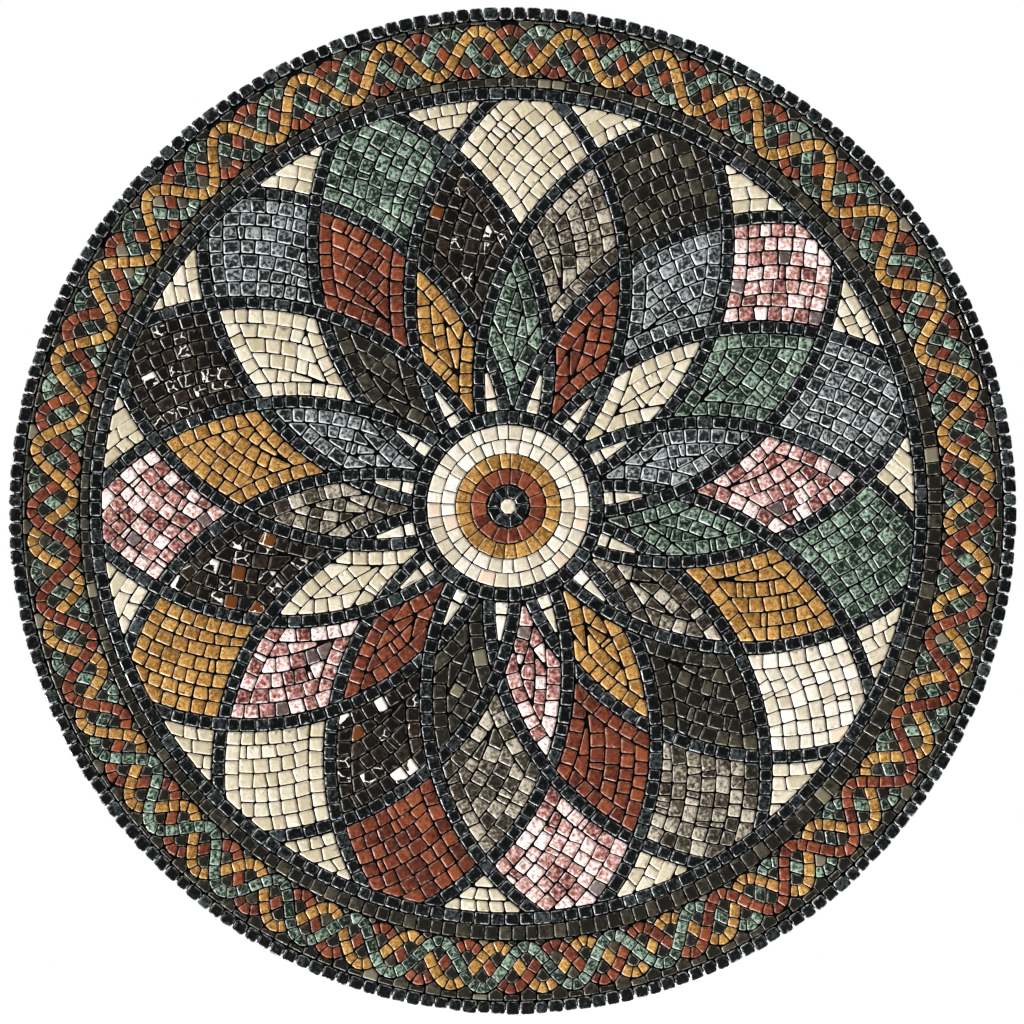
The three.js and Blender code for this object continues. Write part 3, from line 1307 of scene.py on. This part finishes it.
    def _inner_course(self, stones: Masonry) -> None:
        """Lays the course between the braid and the black course round the field."""
        rosette = self.build.rosette
        field_edge = RoundEdge(rosette.centre, rosette.field + rosette.course, 1)
        high = -self.swing - self.width / 2
        pitch = math.degrees(self.course_pitch / self.radius)
        joints = steps(0.0, 360.0, pitch, stones.rng)
        for a, b in zip(joints, joints[1:]):
            width = math.radians(b - a) * self.radius
            block = self._block((a + b) / 2, width, high - self.course_depth, high)
            stones.add(field_edge.cut(block))


@dataclass
class Rim:
    """The outermost course, of strongly tumbled cubes.

    Attributes:
        build: The shared means.
        stones: Number of cubes.
        inner: Inner radius.
        outer: Outer radius.
        inner_play: How far a cube's inner side may lie from the inner radius.
        outer_play: How far its outer side may lie behind the outer radius.
    """

    build: Build
    stones: int = 217
    inner: float = 369.6
    outer: float = 380.15
    inner_play: Point = (-0.1, 0.5)
    outer_play: float = 0.9

    def make(self) -> None:
        """Builds the rim."""
        course = self.build.masonry("rim_course", lambda point: point, joint=0.9, shape=TUMBLED)
        joints = steps(0.0, 360.0, 360 / self.stones, course.rng, 0.07)
        for a, b in zip(joints, joints[1:]):
            inner = self.inner + course.rng.uniform(*self.inner_play)
            outer = self.outer - course.rng.random() ** 2 * self.outer_play
            course.add(sector((inner, outer), (a, b)))
        self.build.finish(course, Marble.BLACK, "rim_course")


@dataclass
class Bed:
    """The mortar bed, which rises into the joints.

    Attributes:
        finish: Its material.
        name: Name of the piece.
        radius: Its radius.
        thickness: Its thickness at the edge, under the rim.
        rise: Height of the mortar in the joints.
        field: Radius up to which the mortar rises.
        hub: Radius of the discs in the middle of its back and its face.
        chamfer: How far its edges are rounded off.
        facets: Straight pieces of its edge.
    """

    finish: bpy.types.Material
    name: str = "setting_bed_mortar"
    radius: float = 376.5
    thickness: float = 10.0
    rise: float = 14.8
    field: float = 369.0
    hub: float = 40.0
    chamfer: float = 0.8
    facets: int = 288

    def _profile(self) -> Polygon:
        """Radius and height of the bed's outline, from the back over the edge to the face."""
        return [
            (self.hub, 0.0),
            (self.radius * 0.5, 0.0),
            (self.radius - self.chamfer, 0.0),
            (self.radius, self.chamfer),
            (self.radius, self.thickness - self.chamfer),
            (self.radius - self.chamfer, self.thickness),
            (self.field + 1.2, self.thickness + 0.4),
            (self.field, self.rise - 0.6),
            (self.field - 1.5, self.rise),
            (self.radius * 0.5, self.rise),
            (self.hub, self.rise),
        ]

    def make(self) -> None:
        """Builds the bed as one turned body."""
        around = range(self.facets)
        vertices: list[Point3] = []
        for radius, height in self._profile():
            for i in around:
                x, z = polar(radius * MM, 360 / self.facets * i)
                vertices.append((x, -height * MM, z))
        last = len(vertices) - self.facets
        faces: list[list[int]] = []
        for low in range(0, last, self.facets):
            high = low + self.facets
            for i in around:
                j = (i + 1) % self.facets
                faces.append([low + i, low + j, high + j, high + i])
        faces.append(list(reversed(around)))
        faces.append([last + i for i in around])
        mesh = bpy.data.meshes.new(self.name)
        mesh.from_pydata(vertices, [], faces)
        mesh.validate()
        mesh.materials.append(self.finish)
        piece = linked(self.name, mesh)
        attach(piece, BODY)
        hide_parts("setting_bed")
        LOG.info("%s: %d faces", self.name, len(mesh.polygons))


# ---------------------------------------------------------------- finishes


def linear(code: str) -> Colour:
    """Colour of a six-digit code as Blender's linear values."""
    values = [int(code[i : i + 2], 16) / 255 for i in (0, 2, 4)]
    curve = [v / 12.92 if v <= 0.04045 else ((v + 0.055) / 1.055) ** 2.4 for v in values]
    return (curve[0], curve[1], curve[2], 1.0)


@dataclass
class Graph:
    """A material's node tree, with short ways to add to it.

    Attributes:
        tree: The node tree.
    """

    tree: bpy.types.NodeTree

    def node(self, kind: str, **settings: object) -> bpy.types.Node:
        """Adds a node and sets its properties."""
        made = self.tree.nodes.new(kind)
        for key, value in settings.items():
            setattr(made, key, value)
        return made

    def put(self, node: bpy.types.Node, **values: object) -> bpy.types.Node:
        """Sets inputs of a node, or links them where the value is a socket.

        Args:
            node: The node.
            values: The inputs' values, by their names with _ for a space, or by _ and their
                number.

        Returns:
            The node.
        """
        for name, value in values.items():
            socket = int(name[1:]) if name[0] == "_" else name.replace("_", " ")
            if isinstance(value, Socket):
                self.tree.links.new(value, node.inputs[socket])
            else:
                node.inputs[socket].default_value = value
        return node

    def math(self, operation: str, a: object, b: object = 0.0, clamp: bool = False) -> Socket:
        """A math node's result."""
        made = self.node("ShaderNodeMath", operation=operation, use_clamp=clamp)
        return self.put(made, _0=a, _1=b).outputs[0]

    def vector(self, operation: str, *values: object) -> Socket:
        """A vector math node's result."""
        made = self.node("ShaderNodeVectorMath", operation=operation)
        for number, value in enumerate(values):
            self.put(made, **{f"_{number}": value})
        return made.outputs[0]

    def times(self, a: object, b: object) -> Socket:
        """Product of two values."""
        return self.math("MULTIPLY", a, b)

    def noise(self, where: object, size: float, detail: float = 3.0, twist: float = 0.0) -> Socket:
        """Noise with clouds of a size in millimetres, about 0.5 on average."""
        made = self.node("ShaderNodeTexNoise")
        scale = 1 / (size * MM)
        self.put(made, Vector=where, Scale=scale, Detail=detail, Distortion=twist)
        return made.outputs["Fac"]

    def swing(self, *noise: object) -> Socket:
        """Noise that swings about 0."""
        return self.math("SUBTRACT", self.noise(*noise), 0.5)

    def cells(self, where: object, size: float, feature: str, output: str) -> Socket:
        """Angular cells of a size in millimetres."""
        made = self.node("ShaderNodeTexVoronoi", feature=feature)
        return self.put(made, Vector=where, Scale=1 / (size * MM)).outputs[output]

    def ramp(self, value: object, low: float, high: float) -> Socket:
        """Where a value lies between two others, from 0 to 1, softly."""
        made = self.node("ShaderNodeMapRange", interpolation_type="SMOOTHSTEP")
        return self.put(made, Value=value, From_Min=low, From_Max=high).outputs["Result"]

    def blend(self, share: object, a: object, b: object) -> Socket:
        """Mixes two colours."""
        made = self.node("ShaderNodeMix", data_type="RGBA")
        return self.put(made, Factor=share, _6=a, _7=b).outputs[2]

    def split(self, colour: object) -> bpy.types.NodeOutputs:
        """The three values of a colour."""
        return self.put(self.node("ShaderNodeSeparateColor"), _0=colour).outputs

    def bump(self, shader: bpy.types.Node, strength: float, depth: float, height: object) -> None:
        """Gives a shader relief of a depth in millimetres."""
        made = self.node("ShaderNodeBump")
        self.put(made, Strength=strength, Distance=depth * MM, Height=height)
        self.put(shader, Normal=made.outputs[0])


def new_material(name: str) -> tuple[bpy.types.Material, Graph, bpy.types.Node]:
    """Starts a material, with its node tree and its shader."""
    made = bpy.data.materials.new(name)
    made.use_nodes = True
    return made, Graph(made.node_tree), made.node_tree.nodes["Principled BSDF"]


@dataclass(frozen=True)
class MarbleFinish:
    """A marble as its tumbled and honed tesserae show it.

    Attributes:
        marble: Which marble.
        dark: Colour of its darkest parts.
        body: Its main colour.
        pale: Colour of its palest parts.
        spread: How far whole stones differ in tone.
        mottle: How strong the clouds inside a stone are.
        cloud: Size of the clouds in millimetres.
        vein: Colour of the veins.
        vein_share: How much of a veined stone the veins cover.
        veined: Share of the stones that have veins.
        odd: Colour of the odd stones among them.
        odd_share: Share of odd stones.
        pit: Colour of pits.
        pits: How much of the stone is pitted.
        rubbing_and_highlight_colour: Colour of the rubbed arrises, which is also a painted highlight
            in place of glints on them.
        rubbing_and_highlight_strength: How strongly the arrises are paled, by real rubbing and by a
            painted highlight.
        roughness: Roughness of the honed face.
        skew: How strongly the stones crowd at the dark end of the scale.
        reach: How far the paling of rubbing and painted highlight spreads from the arrises over the
            face.
        streak: How strong the straight streaks inside a stone are.
        blotch: Share of a veined stone that is filled with the veins' colour.
        vein_pitch: Size in millimetres of the fragments that the veins run round.
        crook: How far the veins are bent, in millimetres.
    """

    marble: Marble
    dark: str
    body: str
    pale: str
    spread: float = 0.5
    mottle: float = 0.8
    cloud: float = 4.0
    vein: str = "ffffff"
    vein_share: float = 0.0
    veined: float = 0.0
    odd: str = "808080"
    odd_share: float = 0.0
    pit: str = "202020"
    pits: float = 0.0
    rubbing_and_highlight_colour: str = "d8d8d4"
    rubbing_and_highlight_strength: float = 0.3
    roughness: float = 0.28
    skew: float = 1.0
    reach: float = 0.15
    streak: float = 0.25
    blotch: float = 0.0
    vein_pitch: float = 9.0
    crook: float = 3.0

    def material(self) -> bpy.types.Material:
        """Builds the finish as a Blender material."""
        made, graph, shader = new_material(self.marble.value)
        tone = graph.node("ShaderNodeAttribute", attribute_name="stone_tone")
        draws = graph.split(tone.outputs["Color"])
        # Coordinates that jump from stone to stone, so that no pattern runs through a joint.
        where = graph.node("ShaderNodeTexCoord").outputs["Object"]
        place = graph.vector("MULTIPLY_ADD", tone.outputs["Vector"], (3.1, 2.3, 2.7), where)
        colour = self._colours(graph, self._tone(graph, place, draws[0]))
        colour = self._odd(graph, colour, draws[2])
        colour = self._veins(graph, colour, place, draws[1])
        colour, holes = self._pits(graph, colour, place)
        # Pales the arrises: partly real rubbing, partly a painted highlight in place of glints.
        colour = self._paint_rubbing_and_highlight(graph, colour, place)
        graph.put(shader, Base_Color=colour, Roughness=self.roughness, Specular_IOR_Level=0.45)
        depth = graph.times(holes, 1.2 if self.pits else 0.3)
        height = graph.math("SUBTRACT", graph.noise(place, 1.1, 3.0), depth)
        graph.bump(shader, 0.35, 0.4, height)
        return made

    def _tone(self, graph: Graph, place: object, own: object) -> Socket:
        """Place on the scale from dark to pale: the stone's own tone, clouds, grain and streaks."""
        value = graph.times(graph.math("POWER", own, self.skew), self.spread)
        clouds = graph.times(graph.swing(place, self.cloud, 5.0, 0.4), self.mottle * 2.6)
        grain = graph.times(graph.swing(place, self.cloud / 6, 2.0), self.mottle * 0.8)
        value = graph.math("ADD", value, graph.math("ADD", clouds, grain))
        turned = graph.node("ShaderNodeVectorRotate", rotation_type="Y_AXIS")
        graph.put(turned, Vector=place, Angle=graph.times(own, 37.0))
        drawn = graph.vector("MULTIPLY", turned.outputs[0], (1.0, 1.0, 0.16))
        lines = graph.swing(drawn, self.cloud / 2.5, 3.0, 0.6)
        value = graph.math("ADD", value, graph.times(lines, self.streak * 2.4))
        return graph.math("ADD", value, (1 - self.spread) / 2, clamp=True)

    def _colours(self, graph: Graph, value: object) -> Socket:
        """The marble's own colours along the scale."""
        ramp = graph.put(graph.node("ShaderNodeValToRGB"), _0=value)
        elements = ramp.color_ramp.elements
        elements[0].color = linear(self.dark)
        elements[1].color = linear(self.pale)
        elements.new(0.5).color = linear(self.body)
        return ramp.outputs[0]

    def _odd(self, graph: Graph, colour: object, draw: object) -> Socket:
        """Turns a share of the stones towards another colour."""
        if not self.odd_share:
            return colour
        chosen = graph.math("GREATER_THAN", draw, 1 - self.odd_share)
        return graph.blend(graph.times(chosen, 0.85), colour, linear(self.odd))

    def _veins(self, graph: Graph, colour: object, place: object, draw: object) -> Socket:
        """Lays crooked veins, and fragments filled with their colour, over a share of the stones."""
        if not self.vein_share:
            return colour
        drift = graph.noise(place, self.cloud * 1.5, 2.0).node.outputs["Color"]
        bent = graph.vector("MULTIPLY_ADD", drift, (self.crook * MM,) * 3, place)
        gap = graph.cells(bent, self.vein_pitch, "DISTANCE_TO_EDGE", "Distance")
        solid = graph.ramp(gap, self.vein_share * 0.6, self.vein_share)
        broken = graph.ramp(graph.noise(place, self.cloud * 1.1, 1.0), 0.40, 0.46)
        share = graph.times(graph.math("SUBTRACT", 1.0, solid), broken)
        if self.blotch:
            spots = graph.split(graph.cells(bent, self.vein_pitch, "F1", "Color"))
            share = graph.math("MAXIMUM", share, graph.math("LESS_THAN", spots[0], self.blotch))
        chosen = graph.math("LESS_THAN", draw, self.veined)
        return graph.blend(graph.times(share, chosen), colour, linear(self.vein))

    def _pits(self, graph: Graph, colour: object, place: object) -> tuple[object, object]:
        """Darkens small pits, and returns them for the relief as well."""
        more = self.pits * 0.25
        holes = graph.ramp(graph.noise(place, 1.3, 1.5, 0.3), 0.72 - more, 0.76 - more)
        if not self.pits:
            return colour, holes
        return graph.blend(graph.times(holes, 0.8), colour, linear(self.pit)), holes

    def _paint_rubbing_and_highlight(self, graph: Graph, colour: object, place: object) -> Socket:
        """Pales the arrises unevenly: partly real rubbing, partly a painted highlight in place of the
        glints on them.
        """
        rubbing_and_highlight = graph.node("ShaderNodeAttribute", attribute_name="arris_rubbing_and_highlight")
        rubbing_highlight_patches = graph.math("MULTIPLY_ADD", graph.swing(place, 2.6, 4.0), 2.2)
        graph.put(rubbing_highlight_patches.node, _2=rubbing_and_highlight.outputs["Fac"])
        edge = graph.ramp(rubbing_highlight_patches, 0.85 - self.reach, 1.25 - self.reach)
        return graph.blend(graph.times(edge, self.rubbing_and_highlight_strength), colour, linear(self.rubbing_and_highlight_colour))


# The arrises' paling colours and strengths: partly real rubbing, partly a painted highlight; the black
# marble's is the strongest.
FINISHES = (
    MarbleFinish(
        Marble.BLACK, "050606", "101212", "464d4e", spread=0.5, skew=3.2, mottle=0.7, cloud=2.6,
        rubbing_and_highlight_strength=0.85, rubbing_and_highlight_colour="bcc1c2", roughness=0.2,
    ),
    MarbleFinish(
        Marble.WHITE, "bdb097", "dad0bc", "f3eee2", spread=0.8, mottle=0.4, rubbing_and_highlight_strength=0.4, rubbing_and_highlight_colour="ffffff",
        odd="e3c9b2", odd_share=0.1, vein="cdbd9f", vein_share=0.02, veined=0.5,
    ),
    MarbleFinish(
        Marble.CREAM, "b7aa8b", "cec2a8", "e6dec9", spread=0.7, mottle=0.45, rubbing_and_highlight_strength=0.55, rubbing_and_highlight_colour="fffaf0",
        vein="b9a680", vein_share=0.02, veined=0.6,
    ),
    MarbleFinish(
        Marble.OCHRE, "6c4610", "b18141", "d8aa60", spread=0.5, mottle=0.7, cloud=2.6, pits=0.5,
        pit="35200a", vein="7a521c", vein_share=0.03, veined=0.7, rubbing_and_highlight_strength=0.5, rubbing_and_highlight_colour="f3e0b8",
    ),
    MarbleFinish(
        Marble.RED, "3a160b", "74351f", "9a5636", spread=0.6, mottle=0.7, cloud=2.6, pits=0.45,
        pit="240b05", odd="8f4a26", odd_share=0.05, rubbing_and_highlight_strength=0.45, rubbing_and_highlight_colour="dcae9c",
    ),
    MarbleFinish(
        Marble.GREEN, "080d09", "253428", "97ae99", spread=0.6, mottle=1.2, cloud=2.3, rubbing_and_highlight_strength=0.55,
        rubbing_and_highlight_colour="c4d2c6", reach=0.3, streak=0.45,
    ),
    MarbleFinish(
        Marble.SLATE, "08090a", "262c2d", "a6adad", spread=0.6, mottle=1.05, cloud=2.5, rubbing_and_highlight_strength=0.8,
        rubbing_and_highlight_colour="cbd1d1", reach=0.45, streak=0.4,
    ),
    MarbleFinish(
        Marble.TAUPE, "1a140e", "4f4639", "c0b6a3", spread=0.95, mottle=0.8, cloud=2.5, rubbing_and_highlight_strength=0.5,
        rubbing_and_highlight_colour="e6dece", reach=0.2, streak=0.55,
    ),
    MarbleFinish(
        Marble.PINK, "52221d", "bf857b", "fbeee9", spread=0.9, mottle=0.95, cloud=2.6, odd="4f4a48",
        odd_share=0.06, rubbing_and_highlight_strength=0.55, rubbing_and_highlight_colour="fcf0ec", reach=0.2, streak=0.4,
    ),
    MarbleFinish(
        Marble.OLIVE, "0c0b08", "1e1c15", "544e3e", spread=0.6, skew=1.8, mottle=0.4, odd="7e7560",
        odd_share=0.04, rubbing_and_highlight_strength=0.6, rubbing_and_highlight_colour="b3ad9b",
    ),
    MarbleFinish(
        Marble.UMBER, "040302", "0f0b08", "3a2c20", skew=1.8, mottle=0.6, cloud=3.0, vein="f2ede2",
        vein_share=0.038, veined=0.3, blotch=0.11, vein_pitch=10.5, odd="6e3a12", odd_share=0.04,
        rubbing_and_highlight_strength=0.55, rubbing_and_highlight_colour="b0a695",
    ),
)


@dataclass(frozen=True)
class MortarFinish:
    """Dark cement mortar with a grey backing.

    Attributes:
        body: Its colour.
        cloud: Colour of its paler clouds.
        speck: Colour of its sand.
        back: Colour of the backing.
        back_cloud: Colour of the paler clouds in the backing.
        seam: Height above the back, in millimetres, up to which the backing goes.
        blur: Height over which the backing turns into the dark mortar.
        roughness: Its roughness.
    """

    body: str = "050505"
    cloud: str = "0a0a09"
    speck: str = "141311"
    back: str = "57544f"
    back_cloud: str = "76726b"
    seam: float = 9.0
    blur: float = 0.6
    roughness: float = 0.9

    def material(self) -> bpy.types.Material:
        """Builds the finish as a Blender material."""
        made, graph, shader = new_material("mortar")
        where = graph.node("ShaderNodeTexCoord").outputs["Object"]
        clouds = graph.noise(where, 35.0, 4.0)
        sand = graph.noise(where, 0.9, 2.0)
        dark = graph.blend(graph.ramp(clouds, 0.3, 0.7), linear(self.body), linear(self.cloud))
        dark = graph.blend(graph.ramp(sand, 0.58, 0.7), dark, linear(self.speck))
        grey = graph.ramp(clouds, 0.35, 0.65)
        grey = graph.blend(grey, linear(self.back), linear(self.back_cloud))
        depth = graph.put(graph.node("ShaderNodeSeparateXYZ"), _0=where).outputs[1]
        behind = graph.ramp(depth, -(self.seam + self.blur) * MM, -self.seam * MM)
        colour = graph.blend(behind, dark, grey)
        graph.put(shader, Base_Color=colour, Roughness=self.roughness, Specular_IOR_Level=0.1)
        graph.bump(shader, 0.6, 0.8, graph.math("ADD", sand, graph.times(clouds, 4.0)))
        return made


# ---------------------------------------------------------------- studio


@dataclass(frozen=True)
class Sun:
    """An even soft light.

    Attributes:
        name: Its name.
        place: Direction in which it stands.
        strength: Its strength.
        spread: Its apparent width in degrees.
    """

    name: str
    place: Point3
    strength: float
    spread: float

    def make(self) -> None:
        """Adds the light."""
        data = bpy.data.lights.new(self.name, "SUN")
        data.energy = self.strength
        data.angle = math.radians(self.spread)
        lamp = linked(self.name, data)
        lamp.rotation_euler = (-Vector(self.place)).to_track_quat("-Z", "Y").to_euler()


@dataclass
class Studio:
    """The camera, the lights and the pale floor.

    Attributes:
        face: How far the face stands before the back, in metres.
        lowest: Height of the panel's lowest point.
        view_width: Width of the view at the panel's face, in metres.
        aim: Where the middle of the view lies, to the right and up, in metres.
        lens: Focal length in millimetres.
        sensor: Width of the sensor in millimetres.
        suns: The lights.
        ambient: Strength of the surrounding's light on the panel.
        floor_radius: Radius of the floor, in metres.
        floor_gap: How far the floor lies under the panel, in metres.
        floor_facets: Straight pieces of the floor's edge.
    """

    face: float
    lowest: float
    view_width: float = 0.7713
    aim: Point = (-0.0004, -0.0008)
    lens: float = 300.0
    sensor: float = 36.0
    suns: tuple[Sun, ...] = (
        Sun("key", (-0.9, -1.0, 0.45), 1.85, 40.0),
        Sun("fill", (0.7, -1.0, 0.6), 0.4, 40.0),
        Sun("left", (-0.85, -0.34, -0.35), 3.2, 12.0),
        Sun("low", (-0.40, -0.34, -0.85), 3.2, 12.0),
        Sun("rear", (0.6, 1.0, 0.9), 2.2, 30.0),
    )
    ambient: float = 0.05
    floor_radius: float = 0.75
    floor_gap: float = 0.0005
    floor_facets: int = 96

    def make(self) -> None:
        """Sets up the whole studio."""
        self._camera()
        for sun in self.suns:
            sun.make()
        self._world()
        self._floor()
        bpy.context.scene.view_settings.view_transform = "Standard"

    def _camera(self) -> None:
        """Puts the camera straight before the panel."""
        data = bpy.data.cameras.new("camera")
        data.lens = self.lens
        data.sensor_width = self.sensor
        camera = linked("camera", data)
        away = self.view_width * self.lens / self.sensor
        camera.location = (self.aim[0], -self.face - away, self.aim[1])
        camera.rotation_euler = (math.radians(90), 0.0, 0.0)
        bpy.context.scene.camera = camera

    def _world(self) -> None:
        """Sets a white surrounding that lights the panel only faintly."""
        world = bpy.data.worlds.new("studio")
        world.use_nodes = True
        graph = Graph(world.node_tree)
        seen = graph.node("ShaderNodeLightPath").outputs["Is Camera Ray"]
        strength = graph.math("MULTIPLY_ADD", seen, 1 - self.ambient)
        graph.put(strength.node, _2=self.ambient)
        graph.put(world.node_tree.nodes["Background"], Color=PURE_WHITE, Strength=strength)
        bpy.context.scene.world = world

    def _floor(self) -> None:
        """Lays the pale floor under the panel."""
        material, graph, shader = new_material("floor")
        seen = graph.node("ShaderNodeLightPath").outputs["Is Camera Ray"]
        graph.put(shader, Base_Color=(0.5, 0.5, 0.5, 1.0), Roughness=0.8)
        graph.put(shader, Emission_Color=PURE_WHITE, Emission_Strength=seen)
        around = range(self.floor_facets)
        rim = [polar(self.floor_radius, 360 / self.floor_facets * i) for i in around]
        height = self.lowest - self.floor_gap
        mesh = bpy.data.meshes.new("floor")
        mesh.from_pydata([(x, y, height) for x, y in rim], [], [list(reversed(around))])
        mesh.materials.append(material)
        floor = linked("floor", mesh)
        floor.visible_shadow = False
        floor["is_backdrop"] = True


def main() -> None:
    """Builds the panel around the frame, piece by piece."""
    logging.basicConfig(level=logging.INFO, format="%(name)s: %(message)s")
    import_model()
    cad_box = [list(corner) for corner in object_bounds()]
    face = -cad_box[0][1]
    Studio(face, cad_box[0][2]).make()
    finishes = {finish.marble: finish.material() for finish in FINISHES}
    build = Build(Rosette(), face / MM, STONE_FOOT, finishes)
    Bed(MortarFinish().material()).make()
    Rim(build).make()
    Border(build).make()
    BlackCourses(build).make()
    Cells(build).make()
    Roundel(build).make()


if __name__ == "__main__":
    main()
